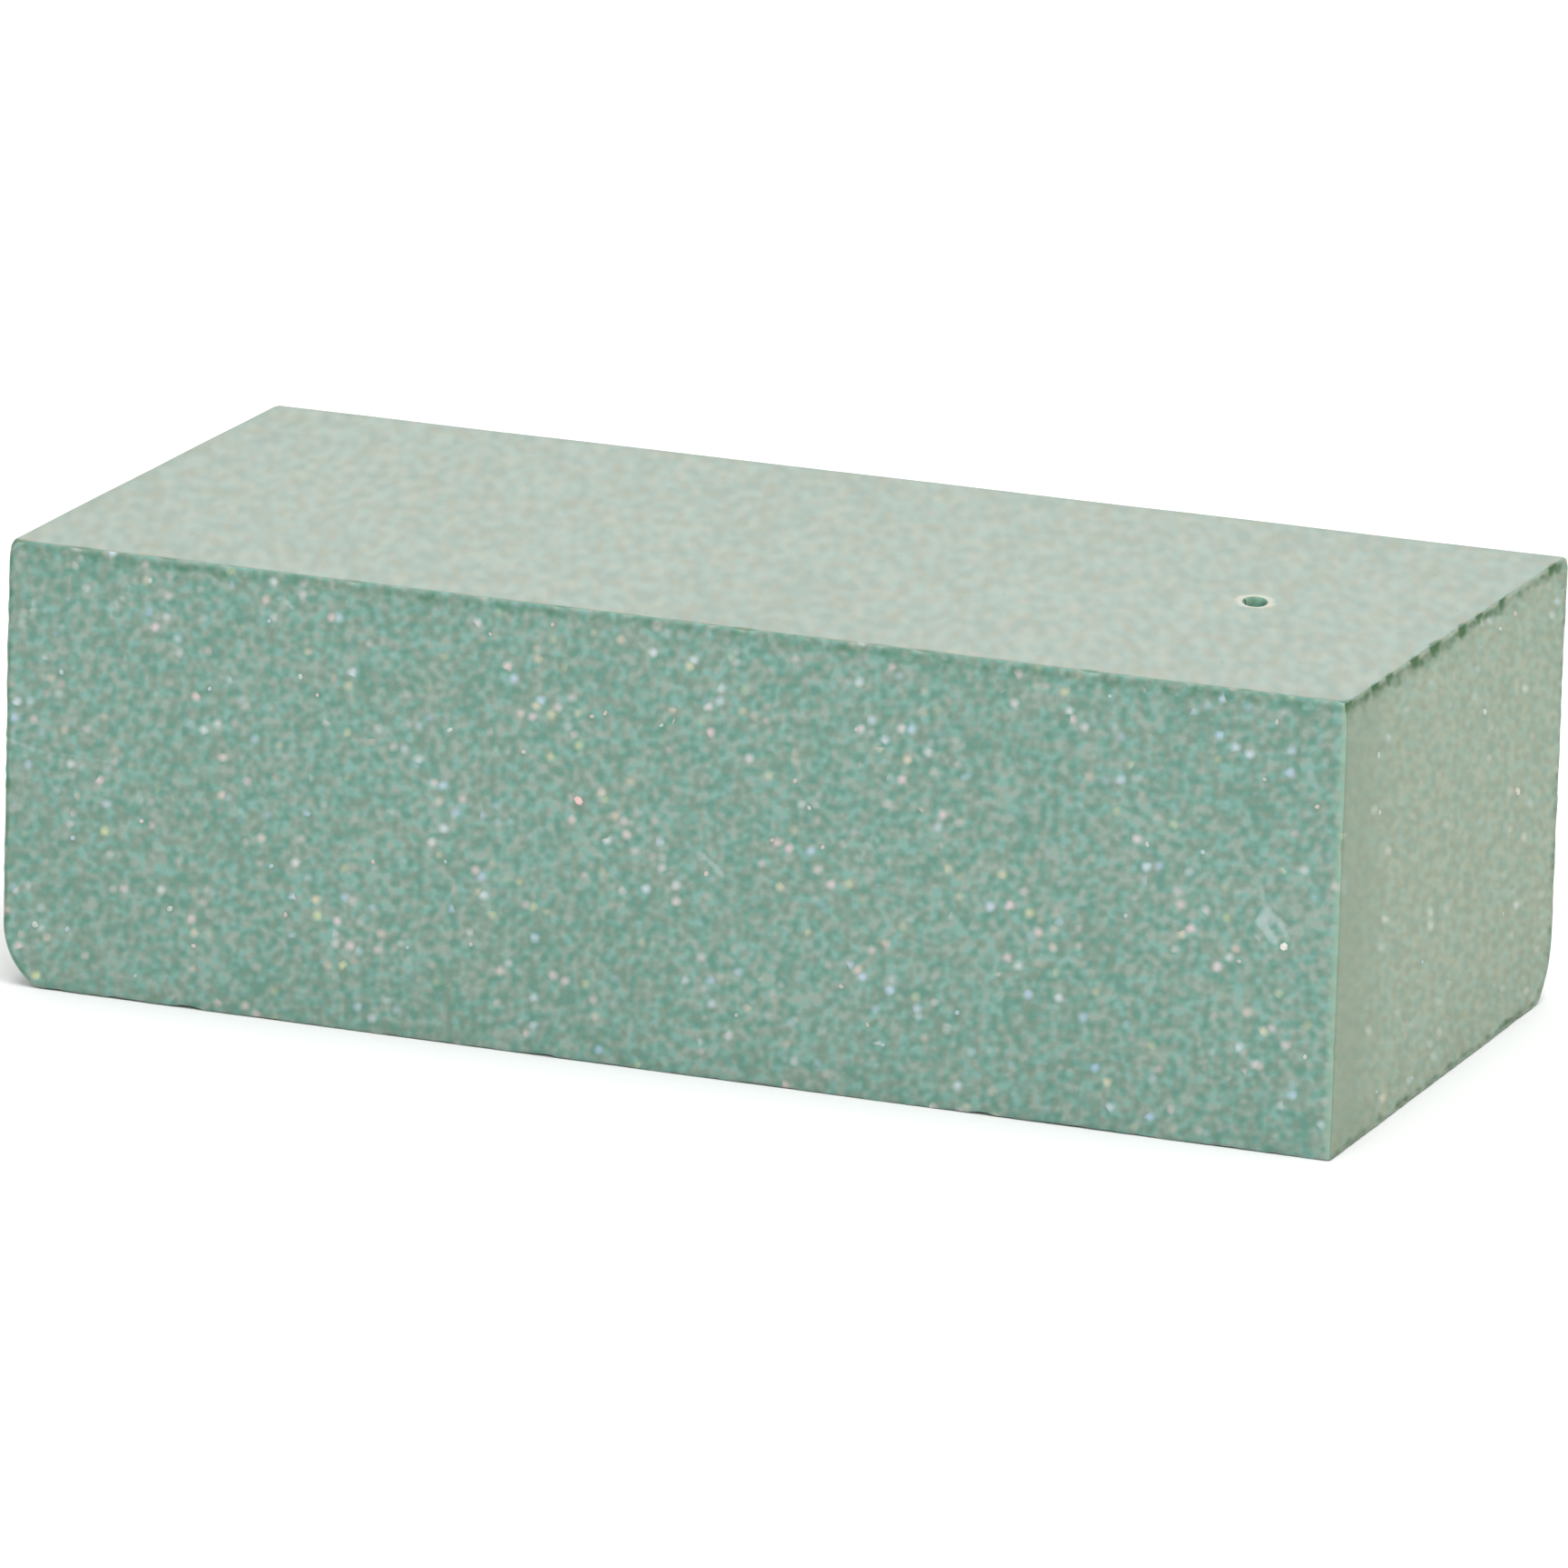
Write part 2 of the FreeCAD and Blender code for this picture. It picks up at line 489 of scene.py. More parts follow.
# %% Relief of the faces
TORN = 0.075 * MM
TORN_GRAIN = 2.0 * MM
FINE_TORN = 0.6 * TORN
FINE_TORN_GRAIN = 0.5 * TORN_GRAIN
SAW_WAVE = 0.12 * MM
SAW_WAVE_GRAIN = 17.0 * MM
PIT_SPACING = 4.2 * MM
PIT_SHARE = 0.30
PIT_RADIUS = 0.34
PIT_DEEP = 0.2 * MM
PIT_SCATTER = 7.0
SKIN_GRAIN = 3.0 * MM
SKIN_GRAIN_RISE = 0.02 * MM
SKIN_WAVE = 0.12 * MM
SKIN_WAVE_GRAIN = 34.0 * MM
RIM_WIDTH = 1.7 * MM
RIM_RISE = 0.14 * MM


def torn_relief(co):
    """Height of a sawn face at a point: torn grain, saw waves and pits."""
    rise = TORN * wander(co, TORN_GRAIN) + FINE_TORN * wander(co, FINE_TORN_GRAIN, seed=4.0)
    rise += SAW_WAVE * wander(co, SAW_WAVE_GRAIN, seed=11.0)
    distances, centres = noise.voronoi(co / PIT_SPACING)
    open_cell = noise.cell(centres[0] * PIT_SCATTER) * 0.5 + 0.5
    if open_cell < PIT_SHARE and distances[0] < PIT_RADIUS:
        rise -= PIT_DEEP * (1 - (distances[0] / PIT_RADIUS) ** 2) ** 2
    return rise


def skin_relief(co):
    """Height of the moulded skin at a point: slow swells and a trace of grain."""
    swell = SKIN_WAVE * wander(co, SKIN_WAVE_GRAIN, seed=2.0)
    return swell + SKIN_GRAIN_RISE * wander(co, SKIN_GRAIN, seed=6.0)


def rim_at(co):
    """How far a point of the top lies in the rim pushed up round the stem hole, from 0 to 1."""
    if high.z - co.z > RIM_WIDTH:
        return 0.0
    return max(0.0, 1 - max(0.0, out_of_mouth(co)) / RIM_WIDTH)


# %% Crushed strokes on the front, from (x, z) to (x, z) in mm, with their width and strength
SCUFF = [
    ((101.5, 43.4), (102.7, 40.2), 0.9, 0.5),
    ((102.9, 39.5), (101.9, 37.5), 1.2, 1.0),
    ((101.9, 37.5), (104.3, 34.9), 1.1, 0.85),
    ((102.9, 39.5), (105.6, 37.4), 1.0, 0.75),
    ((105.6, 37.4), (106.4, 35.2), 0.8, 0.55),
]
SCRATCH = [
    ((-115.0, 41.4), (-108.0, 39.9), 0.7, 0.45),
    ((-108.0, 39.9), (-97.0, 39.8), 0.6, 0.35),
    ((-96.7, 64.5), (-92.8, 70.0), 0.75, 0.7),
    ((-103.5, 71.2), (-102.0, 73.4), 0.7, 0.5),
    ((-66.8, 70.5), (-64.7, 69.2), 0.8, 0.8),
    ((6.8, 37.2), (10.8, 33.9), 0.8, 0.7),
    ((33.7, 39.5), (36.7, 42.9), 0.75, 0.55),
    ((-5.0, 40.7), (-2.9, 39.0), 0.8, 0.5),
]
CRUSH_DEEP = 0.18 * MM


def crush_at(co):
    """How strongly a point of the front lies in one of the strokes, from 0 to 1."""
    strongest = 0.0
    here = Vector((co.x, co.z)) / MM
    for start, stop, width, strength in SCUFF + SCRATCH:
        a = Vector(start)
        b = Vector(stop)
        share = max(0.0, min(1.0, (here - a).dot(b - a) / (b - a).length_squared))
        away = (here - a.lerp(b, share)).length / width
        strongest = max(strongest, strength * max(0.0, 1 - away * away))
    return strongest


# %% Push the relief into the mesh
ROUNDED = 0.35
# Band and strength of the darkening on the top beside the back and left end: partly skin tone, partly
# painted shade
MOULD_BAND = 9.0 * MM
MOULD_SHADE = 0.6
END_BAND_LESS = 1.5 * MM
WALL_ROUGHER = 1.6
WALL_GRAIN = 1.2 * MM


def skin_and_shade_beside_mould(co):
    """How much the top is darkened beside the moulded back and left end, partly skin tone and partly
    painted shade, from 0 to 1.
    """
    if high.z - co.z > BACK_TOP_EDGE:
        return 0.0
    away = min(high.y - co.y, co.x - low.x + END_BAND_LESS)
    return MOULD_SHADE * max(0.0, 1 - away / MOULD_BAND)


def roughen(bm):
    """Pushes every vertex along its normal by the relief of the faces it belongs to."""
    crushed = bm.verts.layers.float.new("crushed")
    rim = bm.verts.layers.float.new("rim")
    rounded_and_shaded = bm.verts.layers.float.new("rounded_and_shaded")
    moves = []
    for vert in bm.verts:
        kinds = {face.material_index for face in vert.link_faces}
        if vert.co.z < low.z + TINY:
            continue
        if kinds == {SKIN}:
            vert[rim] = rim_at(vert.co)
            bent_and_shaded = sorted(abs(part) for part in vert.normal)[1] > ROUNDED
            # Round edges and the top beside the back and left end are darkened: partly the skin's own
            # tone, partly painted shade
            vert[rounded_and_shaded] = max(skin_and_shade_beside_mould(vert.co), bent_and_shaded)
            moves.append((vert, vert.normal * (skin_relief(vert.co) + RIM_RISE * vert[rim])))
        elif kinds == {HOLE_WALL}:
            rough = wander(vert.co, WALL_GRAIN, seed=8.0)
            moves.append((vert, vert.normal * TORN * WALL_ROUGHER * rough))
        elif HOLE_WALL in kinds:
            vert[rim] = 1.0
        else:
            moves.append((vert, vert.normal * torn_relief(vert.co)))
        if FRONT_SAWN in kinds:
            vert[crushed] = crush_at(vert.co)
            moves.append((vert, Vector((0, CRUSH_DEEP * vert[crushed], 0))))
    for vert, move in moves:
        vert.co += move
    for vert in bm.verts:
        vert.co.z = max(vert.co.z, low.z)


roughen(brick)
print("relief done, lowest point", round(min(vert.co.z for vert in brick.verts) / MM, 3), "mm")


# %% Make the brick an object
def as_object(bm, name, finishes):
    """Turns the finished mesh into an object at the origin, with its finishes in order."""
    mesh = bpy.data.meshes.new(name)
    bm.to_mesh(mesh)
    bm.free()
    for finish in finishes:
        mesh.materials.append(finish)
    thing = bpy.data.objects.new(name, mesh)
    bpy.context.scene.collection.objects.link(thing)
    return thing


# %% [markdown]
# ## Helpers for the finishes
# Each finish is a small tree of nodes on one shader. `wire` adds a node and fills its inputs in one
# call, which keeps the trees short to read. Colours are written as they would be picked from a card,
# 0 to 255, and changed to the linear values that a shader expects. The bun rose through what is now the
# brick's depth, a little askew, and that drew its cells out, so every pattern is longer that way.

# %% Colour and node helpers
RISE_TURN = (math.radians(-15), 0.0, math.radians(21))
CELL_DRAW = (1.0, 5.0, 1.0)


def card(red, green, blue):
    """A colour picked from a card, as linear red, green, blue and alpha."""
    return tuple(((c / 255 + 0.055) / 1.055) ** 2.4 for c in (red, green, blue)) + (1.0,)


def wire(tree, kind, inputs, **settings):
    """A new node with its settings made and its inputs fed by sockets, numbers or colours."""
    node = tree.nodes.new(kind)
    for name, value in settings.items():
        setattr(node, name, value)
    for name, value in inputs.items():
        if isinstance(value, bpy.types.NodeSocket):
            tree.links.new(value, node.inputs[name])
        else:
            node.inputs[name].default_value = value
    return node


def new_finish(name):
    """A material with its node tree, its shader and the place on the piece that patterns read."""
    finish = bpy.data.materials.new(name)
    finish.use_nodes = True
    tree = finish.node_tree
    place = tree.nodes.new("ShaderNodeTexCoord").outputs["Object"]
    turned = {"Vector": place, "Rotation": RISE_TURN, "Scale": CELL_DRAW}
    drawn_out = wire(tree, "ShaderNodeMapping", turned, vector_type="TEXTURE")
    return finish, tree, tree.nodes["Principled BSDF"], drawn_out.outputs["Vector"]


# %% Patterns of foam
Cells = namedtuple("Cells", "middle hue chance")


def cells(tree, place, width):
    """Foam cells of about this width: distance from each cell's middle, and two random values."""
    node = wire(tree, "ShaderNodeTexVoronoi", {"Vector": place, "Scale": 1 / width})
    parts = wire(tree, "ShaderNodeSeparateColor", {"Color": node.outputs["Color"]})
    return Cells(node.outputs["Distance"], parts.outputs["Red"], parts.outputs["Green"])


def drift(tree, place, width, detail=2.0):
    """Slow random change over about this width, from 0 to 1."""
    inputs = {"Vector": place, "Scale": 1 / width, "Detail": detail}
    return wire(tree, "ShaderNodeTexNoise", inputs).outputs["Fac"]


def warped(tree, place, width, reach):
    """The place pushed about at random by up to the reach, so that round patterns turn ragged."""
    push = wire(tree, "ShaderNodeTexNoise", {"Vector": place, "Scale": 1 / width}).outputs["Color"]
    inputs = {0: push, 1: (reach, reach, reach), 2: place}
    return wire(tree, "ShaderNodeVectorMath", inputs, operation="MULTIPLY_ADD").outputs["Vector"]


def noted(tree, name):
    """A value that was written on the vertices of the mesh."""
    return wire(tree, "ShaderNodeAttribute", {}, attribute_name=name).outputs["Fac"]


# %% Sums, fades and mixes
def sum_of(tree, *parts):
    """The sum of (socket, share) pairs."""
    total = None
    for socket, share in parts:
        term = wire(tree, "ShaderNodeMath", {0: socket, 1: share}, operation="MULTIPLY").outputs[0]
        if total is not None:
            term = wire(tree, "ShaderNodeMath", {0: total, 1: term}, operation="ADD").outputs[0]
        total = term
    return total


def times(tree, first, second):
    """The product of two values."""
    return wire(tree, "ShaderNodeMath", {0: first, 1: second}, operation="MULTIPLY").outputs[0]


def fade(tree, value, start, stop, low_end=0.0, high_end=1.0):
    """Eases from low_end to high_end while the value goes from start to stop."""
    inputs = {"Value": value, "From Min": start, "From Max": stop, "To Min": low_end, "To Max": high_end}
    return wire(tree, "ShaderNodeMapRange", inputs, interpolation_type="SMOOTHSTEP").outputs["Result"]


def scale_of_colours(tree, value, stops):
    """A colour for each value, running evenly between (position, colour) stops."""
    node = wire(tree, "ShaderNodeValToRGB", {"Fac": value})
    ramp = node.color_ramp
    while len(ramp.elements) < len(stops):
        ramp.elements.new(0.5)
    for element, (position, colour) in zip(ramp.elements, stops):
        element.position = position
        element.color = colour
    return node.outputs["Color"]


# Where a mix node that is set to colours keeps its amount, its two colours and its result
AMOUNT_IN, FIRST_IN, SECOND_IN, MIXED_OUT = 0, 6, 7, 2


def mixed(tree, amount, first, second):
    """Two colours mixed by an amount."""
    node = wire(tree, "ShaderNodeMix", {}, data_type="RGBA")
    for index, value in ((AMOUNT_IN, amount), (FIRST_IN, first), (SECOND_IN, second)):
        if isinstance(value, bpy.types.NodeSocket):
            tree.links.new(value, node.inputs[index])
        else:
            node.inputs[index].default_value = value
    return node.outputs[MIXED_OUT]


# %% [markdown]
# ## Sawn foam
# A sawn face is a crowd of torn cells about a millimetre wide. Each catches the light its own way, so the
# tone drifts from cell to cell, and the hue with it, between teal and a warmer grey. Here and there a wall
# faces the light and flashes white, pink or blue; these flashes are painted highlights in the colour.
# Noise of the cells' size gives the tone, and noise of another size the hue, so the two don't march
# together. Voronoi cells, kept only at their middles, give the painted flashes, and the edges of smaller
# ones the relief of torn walls. The line of dense skin is laid over them all.

# %% The sawn finish
CELL = 1.15 * MM
TONE_GRAIN = 1.45 * MM
HUE_GRAIN = 1.55 * MM
FLASH_WARP = 0.5 * MM
FLASH_WARP_GRAIN = 1.1 * MM
FLASH_SPACING = 2.2 * MM
FRAY = 0.7
FRAY_GRAIN = 1.7 * MM
FINE_GRAIN = 0.9 * MM
CLUMP = 4.5 * MM
SLOW_CHANGE = 26.0 * MM
TONE_STOPS = (0.36, 0.50, 0.64)
HUE_FROM = 0.28
HUE_TO = 0.72


def two_toned(tree, tone, hue, cool, warm):
    """A colour for each tone, between a cool and a warm scale of colours by the hue."""
    cool_scale = scale_of_colours(tree, tone, list(zip(TONE_STOPS, cool)))
    warm_scale = scale_of_colours(tree, tone, list(zip(TONE_STOPS, warm)))
    return mixed(tree, fade(tree, hue, HUE_FROM, HUE_TO), cool_scale, warm_scale)


def sawn_finish(name, cool, warm, flashes, first_flash, line_colour, upright_stripe_and_shade_colour, crushed_colour):
    """Torn open foam in these tones, with painted flashes (highlights in the colour) on the cells whose
    chance passes first_flash.
    """
    finish, tree, shader, place = new_finish(name)
    torn = cells(tree, place, CELL)
    coarse = drift(tree, place, TONE_GRAIN, 0.0)
    grain = drift(tree, place, FINE_GRAIN, 1.0)
    clump = drift(tree, place, CLUMP)
    slow = drift(tree, place, SLOW_CHANGE)
    tone = sum_of(tree, (coarse, 0.55), (grain, 0.23), (clump, 0.12), (slow, 0.10))
    colour = two_toned(tree, tone, drift(tree, place, HUE_GRAIN, 0.0), cool, warm)
    # The flashes are painted highlights: pale spots in the base colour
    bright = cells(tree, warped(tree, place, FLASH_WARP_GRAIN, FLASH_WARP), FLASH_SPACING)
    chosen = fade(tree, bright.chance, first_flash, 1.05)
    flash = times(tree, fade(tree, bright.middle, 0.54, 0.0), chosen)
    colour = mixed(tree, flash, colour, scale_of_colours(tree, bright.hue, flashes))
    # Beside the upright edge: a paler stripe on the front, and painted shade over the front of the end
    beside = fade(tree, sum_of(tree, (noted(tree, "upright_edge_and_end_shade"), 1.0), (grain, 0.4)), 0.3, 1.0)
    colour = mixed(tree, times(tree, beside, 0.6), colour, upright_stripe_and_shade_colour)
    fray = drift(tree, place, FRAY_GRAIN, 1.0)
    frayed = sum_of(tree, (noted(tree, "skin_line"), 1.0), (fray, FRAY))
    line = fade(tree, frayed, 0.55, 1.25)
    colour = mixed(tree, times(tree, line, 0.9), colour, line_colour)
    crush = fade(tree, sum_of(tree, (noted(tree, "crushed"), 1.0), (grain, 0.4)), 0.3, 1.1)
    colour = mixed(tree, times(tree, crush, 0.7), colour, crushed_colour)
    tree.links.new(colour, shader.inputs["Base Color"])
    tree.links.new(fade(tree, flash, 0.0, 1.0, 0.92, 0.55), shader.inputs["Roughness"])
    tree.links.new(fade(tree, line, 0.0, 1.0, 0.35, 0.05), shader.inputs["Specular IOR Level"])
    tree.links.new(fade(tree, line, 0.0, 1.0, 0.12, 0.0), shader.inputs["Sheen Weight"])
    shader.inputs["Sheen Roughness"].default_value = 0.6
    height = sum_of(tree, (torn.middle, 0.4), (coarse, 0.6))
    bump = wire(tree, "ShaderNodeBump", {"Height": height, "Strength": 0.18, "Distance": 0.5 * MM})
    tree.links.new(bump.outputs["Normal"], shader.inputs["Normal"])
    return finish


# %% Teal front, sage end
front_finish = sawn_finish(
    "sawn foam, teal",
    [card(95, 139, 125), card(110, 151, 138), card(125, 165, 155)],
    [card(114, 139, 124), card(128, 149, 136), card(144, 160, 149)],
    [
        (0.0, card(168, 192, 218)), (0.25, card(196, 206, 204)), (0.5, card(210, 190, 194)),
        (0.8, card(202, 188, 172)), (1.0, card(194, 204, 154)),
    ],
    0.56,
    card(70, 114, 88),
    card(146, 176, 156),
    card(168, 188, 184),
)
end_finish = sawn_finish(
    "sawn foam, sage",
    [card(122, 144, 126), card(130, 152, 134), card(138, 160, 143)],
    [card(130, 142, 120), card(138, 150, 128), card(147, 158, 137)],
    [(0.0, card(160, 184, 184)), (0.5, card(186, 194, 184)), (1.0, card(194, 186, 168))],
    0.80,
    card(66, 98, 66),
    card(117, 134, 112),
    card(176, 186, 176),
)

# %% [markdown]
# ## Moulded skin and the hole's wall
# The skin is closed and powdery, a pale grey-green with only soft mottling and a few pinholes. It is a
# little darker round its round edges and on the top beside the back and left end, partly its own tone and
# partly painted shade, darker still where an edge has crumbled, and palest on the rim round the stem hole,
# where foam dust clings. Inside the hole the wall is a darker teal.

# %% The skin and hole finishes
MOTTLE = 2.0 * MM
SKIN_HUE_GRAIN = 2.2 * MM
CLOUD = 6.0 * MM
SLOW_SKIN_CHANGE = 48.0 * MM
PINHOLE_SPACING = 4.2 * MM
PINHOLE_COLOUR = card(112, 136, 120)
# Colour for the round edges: partly the skin's own tone, partly painted shade
ROUND_EDGE_SKIN_AND_SHADE_COLOUR = card(110, 132, 116)
CRUMBLED_COLOUR = card(84, 116, 92)
DUST_COLOUR = card(178, 180, 166)


def skin_finish(name):
    """Closed moulded skin: pale, powdery and softly mottled."""
    finish, tree, shader, place = new_finish(name)
    mottle = drift(tree, place, MOTTLE, 0.0)
    powder = drift(tree, place, FINE_GRAIN)
    cloud = drift(tree, place, CLOUD, 3.0)
    slow = drift(tree, place, SLOW_SKIN_CHANGE)
    tone = sum_of(tree, (mottle, 0.50), (powder, 0.15), (cloud, 0.20), (slow, 0.15))
    cool = [card(129, 145, 136), card(136, 152, 143), card(142, 158, 149)]
    warm = [card(136, 144, 130), card(142, 150, 138), card(149, 157, 145)]
    colour = two_toned(tree, tone, drift(tree, place, SKIN_HUE_GRAIN, 0.0), cool, warm)
    dot = cells(tree, place, PINHOLE_SPACING)
    pinhole = times(tree, fade(tree, dot.middle, 0.085, 0.04), fade(tree, dot.chance, 0.55, 0.6))
    colour = mixed(tree, times(tree, pinhole, 0.4), colour, PINHOLE_COLOUR)
    # Round edges darkened: partly skin tone, partly painted shade
    bent_and_shaded = fade(tree, sum_of(tree, (noted(tree, "rounded_and_shaded"), 1.0), (cloud, 0.4)), 0.45, 0.95)
    colour = mixed(tree, times(tree, bent_and_shaded, 0.75), colour, ROUND_EDGE_SKIN_AND_SHADE_COLOUR)
    broken = fade(tree, sum_of(tree, (noted(tree, "worn"), 1.0), (powder, 0.5)), 0.35, 0.95)
    colour = mixed(tree, times(tree, broken, 0.6), colour, CRUMBLED_COLOUR)
    dusted = fade(tree, sum_of(tree, (noted(tree, "rim"), 1.0), (powder, 0.4)), 0.35, 0.95)
    colour = mixed(tree, times(tree, dusted, 0.85), colour, DUST_COLOUR)
    tree.links.new(colour, shader.inputs["Base Color"])
    tree.links.new(fade(tree, tone, 0.3, 0.7, 0.86, 0.98), shader.inputs["Roughness"])
    tree.links.new(fade(tree, broken, 0.0, 1.0, 0.30, 0.05), shader.inputs["Specular IOR Level"])
    tree.links.new(fade(tree, broken, 0.0, 1.0, 0.15, 0.0), shader.inputs["Sheen Weight"])
    shader.inputs["Sheen Roughness"].default_value = 0.7
    height = sum_of(tree, (powder, 0.5), (mottle, 0.5), (pinhole, -0.6))
    bump = wire(tree, "ShaderNodeBump", {"Height": height, "Strength": 0.10, "Distance": 0.4 * MM})
    tree.links.new(bump.outputs["Normal"], shader.inputs["Normal"])
    return finish


skin = skin_finish("moulded skin")
# Inside the hole the wall is a darker teal than the sawn front
hole_finish = sawn_finish(
    "darker teal wall of the stem hole",
    [card(76, 122, 104), card(92, 138, 118), card(106, 152, 132)],
    [card(84, 116, 96), card(100, 132, 112), card(116, 146, 126)],
    [(0.0, card(150, 180, 170)), (1.0, card(160, 185, 172))],
    0.92,
    card(60, 100, 80),
    card(84, 130, 110),
    card(120, 150, 140),
)

foam = as_object(brick, "foam_brick_body", [skin, front_finish, end_finish, hole_finish])
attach(foam, "root")
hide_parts(BRICK)
print("foam brick body:", sum(len(face.vertices) - 2 for face in foam.data.polygons), "triangles")

# %% [markdown]
# ## Glints
# A few dozen torn cell walls stand at an angle to the face and flash. They are real flakes of glassy foam,
# so each is a tiny six-sided chip, tilted at random and half sunk in the face, but their pale white, pink
# and blue colours are painted glints. Chips cost little and turn facets to the light from every side; a
# painted dot would not.

# %% Chips of cell wall
# Pale, pink and blue colours of the chips: painted glints
PAINTED_GLINT_COLOURS = [card(188, 196, 188), card(196, 182, 174), card(192, 178, 172), card(168, 188, 194)]
FRONT_GLINTS = 46
END_GLINTS = 8
EDGE_CLEAR = 3.0 * MM
GLINT_SIZES = (0.40 * MM, 0.62 * MM)
OUT_OF_FRONT = Vector((0, -1, 0))
OUT_OF_END = Vector((1, 0, 0))
# The larger chips; their pale and pink colours are painted glints
LARGE_GLINTS = [
    (Vector((-14.3 * MM, low.y, 43.3 * MM)), OUT_OF_FRONT, card(232, 184, 182), 1.15 * MM),
    (Vector((105.9 * MM, low.y, 34.1 * MM)), OUT_OF_FRONT, card(226, 218, 212), 0.8 * MM),
    (Vector((high.x, 13.6 * MM, 57.8 * MM)), OUT_OF_END, card(190, 198, 196), 0.9 * MM),
    (Vector((high.x, 32.8 * MM, 40.0 * MM)), OUT_OF_END, card(206, 198, 184), 0.9 * MM),
]


def add_glint(bm, tint_layer, rng, place, outwards, tint, radius):
    """Adds one tilted six-sided chip of cell wall, half sunk in the surface."""
    spread = Matrix.Diagonal((rng.uniform(0.7, 1.2), rng.uniform(0.6, 1.0), 1.0, 1.0))
    tilt = Matrix.Rotation(math.radians(rng.uniform(4, 22)), 4, "X")
    turn = Matrix.Rotation(rng.uniform(0, 2 * math.pi), 4, "Z")
    face_out = outwards.to_track_quat("Z", "Y").to_matrix().to_4x4()
    where = Matrix.Translation(place) @ face_out @ turn @ tilt @ spread
    made = bmesh.ops.create_cone(
        bm, cap_ends=True, segments=6, radius1=radius, radius2=0.7 * radius, depth=0.7 * radius,
        matrix=where)
    for vert in made["verts"]:
        vert[tint_layer] = tint


def scatter_glints():
    """Chips strewn over the front, a few over the end, and the larger ones at the listed places."""
    rng = random.Random(31)
    bm = bmesh.new()
    tint_layer = bm.verts.layers.float_color.new("tint")
    spots = []
    for _ in range(FRONT_GLINTS):
        x = rng.uniform(low.x + EDGE_CLEAR, high.x - EDGE_CLEAR)
        z = rng.uniform(low.z + EDGE_CLEAR, high.z - EDGE_CLEAR)
        spots.append((Vector((x, low.y, z)), OUT_OF_FRONT))
    for _ in range(END_GLINTS):
        y = rng.uniform(low.y + EDGE_CLEAR, high.y - EDGE_CLEAR)
        z = rng.uniform(low.z + EDGE_CLEAR, high.z - EDGE_CLEAR)
        spots.append((Vector((high.x, y, z)), OUT_OF_END))
    for place, outwards in spots:
        face = FRONT if outwards is OUT_OF_FRONT else END
        if outline_depth(place, face)[0] > EDGE_CLEAR / 2:
            tint = rng.choice(PAINTED_GLINT_COLOURS)
            add_glint(bm, tint_layer, rng, place, outwards, tint, rng.uniform(*GLINT_SIZES))
    for place, outwards, tint, radius in LARGE_GLINTS:
        add_glint(bm, tint_layer, rng, place, outwards, tint, radius)
    return bm


def glint_finish():
    """Glassy cell wall, tinted by the painted glint colour noted on each chip."""
    finish, tree, shader, place = new_finish("glassy cell wall")
    tint = wire(tree, "ShaderNodeAttribute", {}, attribute_name="tint").outputs["Color"]
    clouded = fade(tree, drift(tree, place, 0.5 * MM), 0.3, 0.7)
    colour = mixed(tree, times(tree, clouded, 0.4), tint, card(150, 180, 168))
    tree.links.new(colour, shader.inputs["Base Color"])
    tree.links.new(fade(tree, clouded, 0.0, 1.0, 0.6, 0.8), shader.inputs["Roughness"])
    return finish


glints = as_object(scatter_glints(), "cell_wall_glints", [glint_finish()])
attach(glints, "root")
print("glints:", len(glints.data.polygons), "faces")

# %% [markdown]
# ## Studio
# The brick stands on a plain white floor under soft light from all round, with one large panel above,
# so the top is palest and the sides are a little deeper. The floor is part of the studio, not of the
# object.

# %% Floor and light
FLOOR_SIZE = 12.0
FLOOR_COLOUR = (0.86, 0.86, 0.86, 1.0)
FLOOR_ROUGHNESS = 0.9
LIGHT_ALL_ROUND = 0.85
PANEL_PLACE = Vector((0.25, -0.2, 1.6))
PANEL_WIDTH = 1.6
PANEL_POWER = 26.0


def white_floor():
    """A plain pale floor under the brick."""
    bm = bmesh.new()
    bmesh.ops.create_grid(bm, x_segments=1, y_segments=1, size=FLOOR_SIZE / 2)
    finish, _, shader, _ = new_finish("studio floor")
    shader.inputs["Base Color"].default_value = FLOOR_COLOUR
    shader.inputs["Roughness"].default_value = FLOOR_ROUGHNESS
    return as_object(bm, "studio_floor", [finish])


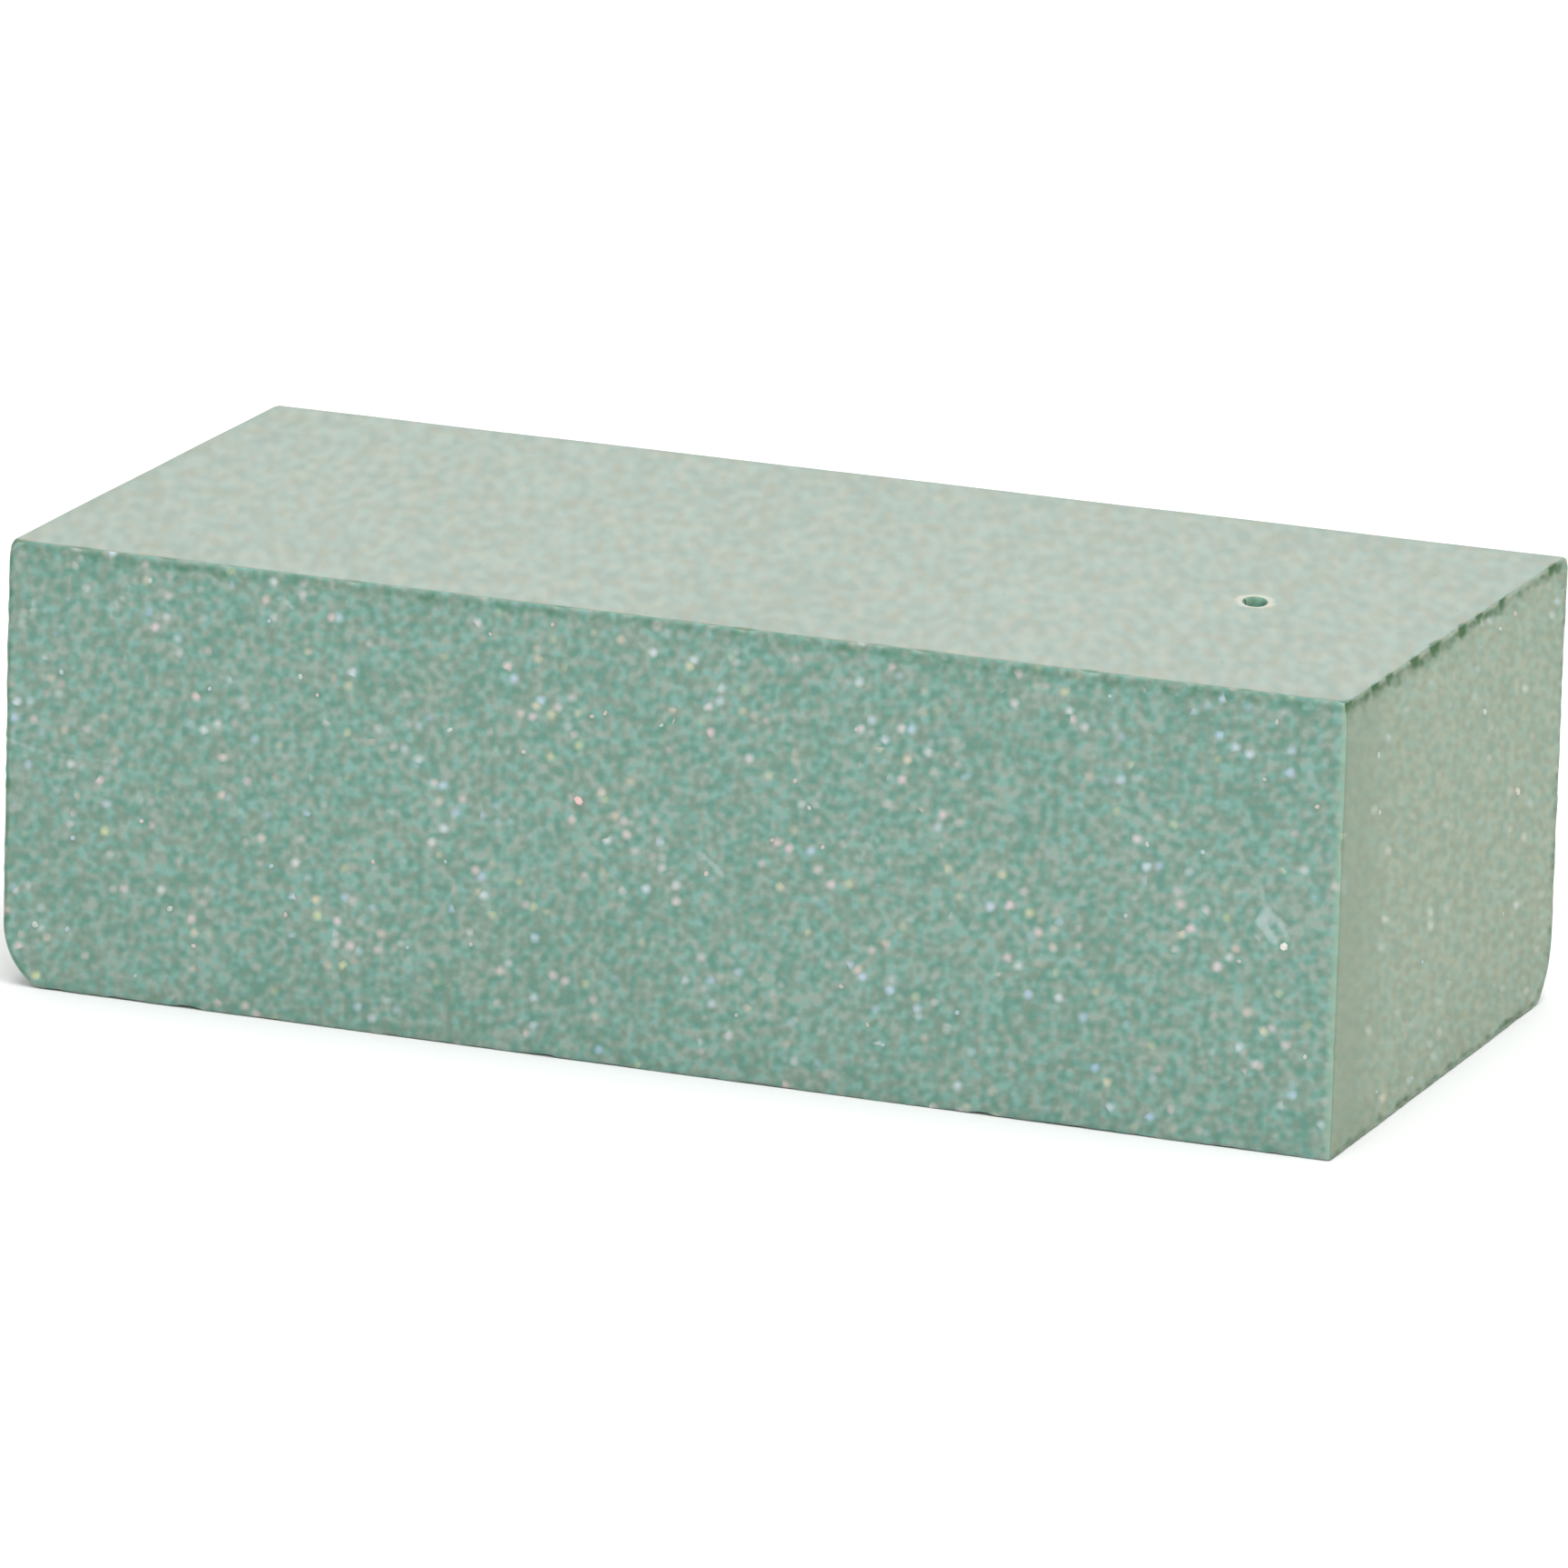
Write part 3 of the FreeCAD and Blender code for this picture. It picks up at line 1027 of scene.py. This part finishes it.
def soft_panel(name, place, aim, width, power):
    """A square soft light that faces the aim."""
    data = bpy.data.lights.new(name, "AREA")
    data.shape = "SQUARE"
    data.size = width
    data.energy = power
    panel = bpy.data.objects.new(name, data)
    facing = (place - aim).to_track_quat("Z", "Y")
    panel.matrix_world = Matrix.Translation(place) @ facing.to_matrix().to_4x4()
    bpy.context.scene.collection.objects.link(panel)


floor = white_floor()
world = bpy.data.worlds.new("studio")
world.use_nodes = True
surround = world.node_tree.nodes["Background"]
surround.inputs["Color"].default_value = (1.0, 1.0, 1.0, 1.0)
surround.inputs["Strength"].default_value = LIGHT_ALL_ROUND
bpy.context.scene.world = world
bpy.context.scene.view_settings.view_transform = "Standard"
middle_of_block = (low + high) / 2
soft_panel("panel above", PANEL_PLACE, middle_of_block, PANEL_WIDTH, PANEL_POWER)

# %% [markdown]
# ## Camera
# A long lens far away, slightly above the brick and to the left of its sawn corner, keeps the long edges
# almost parallel. The camera is turned by a degree or two, as a hand-held one is.

# %% Camera
AZIMUTH = math.radians(20.88)
ELEVATION = math.radians(14.61)
ROLL = math.radians(1.69)
DISTANCE = 2.3657
LENS = 332.2
LENS_WIDTH = 36.0
FARTHEST_SEEN = 100.0
AIM_SHIFT = (-0.23 * MM, -2.46 * MM)


def long_lens_camera():
    """The camera, aimed at the middle of the block."""
    back = Vector((
        math.sin(AZIMUTH) * math.cos(ELEVATION),
        -math.cos(AZIMUTH) * math.cos(ELEVATION),
        math.sin(ELEVATION),
    ))
    level = Vector((math.cos(AZIMUTH), math.sin(AZIMUTH), 0))
    upright = back.cross(level)
    right = level * math.cos(ROLL) + upright * math.sin(ROLL)
    up = upright * math.cos(ROLL) - level * math.sin(ROLL)
    place = middle_of_block + back * DISTANCE + right * AIM_SHIFT[0] + up * AIM_SHIFT[1]
    data = bpy.data.cameras.new("long lens")
    data.lens = LENS
    data.sensor_width = LENS_WIDTH
    data.clip_end = FARTHEST_SEEN
    camera = bpy.data.objects.new("long lens", data)
    turn = Matrix((right, up, back)).transposed().to_4x4()
    camera.matrix_world = Matrix.Translation(place) @ turn
    bpy.context.scene.collection.objects.link(camera)
    return camera


bpy.context.scene.camera = long_lens_camera()

# %% Finish
print("scene built")
